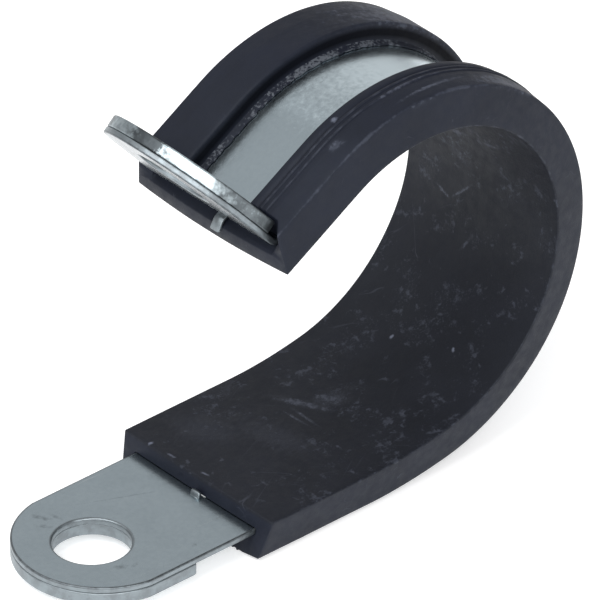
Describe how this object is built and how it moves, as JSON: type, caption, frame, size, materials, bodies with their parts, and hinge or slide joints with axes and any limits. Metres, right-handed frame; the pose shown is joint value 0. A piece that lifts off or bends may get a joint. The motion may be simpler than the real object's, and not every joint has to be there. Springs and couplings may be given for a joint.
{
  "type": "rubber lined p clip",
  "caption": "Open P clip: a bent steel strap with drilled tabs and reinforcing plates, and a rubber channel liner that grips a cable or pipe in its loop.",
  "frame": {"origin": "centre of the lower fixing hole, on the underside of the lower reinforcing plate, the face that seats on a panel", "axes": "+Z along the lower fixing hole, away from the panel; +X from the hole towards the loop, the longest way; Y across the strap, the loop's own axis and the mirror direction"},
  "size_m": [0.053, 0.0186, 0.0398],
  "materials": {
    "strap": "satin zinc-plated strip steel with bright sheared edges",
    "rubber": "matte blue-black extruded rubber, dusty and lightly scuffed",
    "plates": "satin zinc-plated steel plate with rolled-over punched edges"
  },
  "bodies": {
    "root": {"strap": "strap", "rubber_liner": "rubber", "lower_plate": "plates", "upper_plate": "plates"}
  },
  "joints": []
}
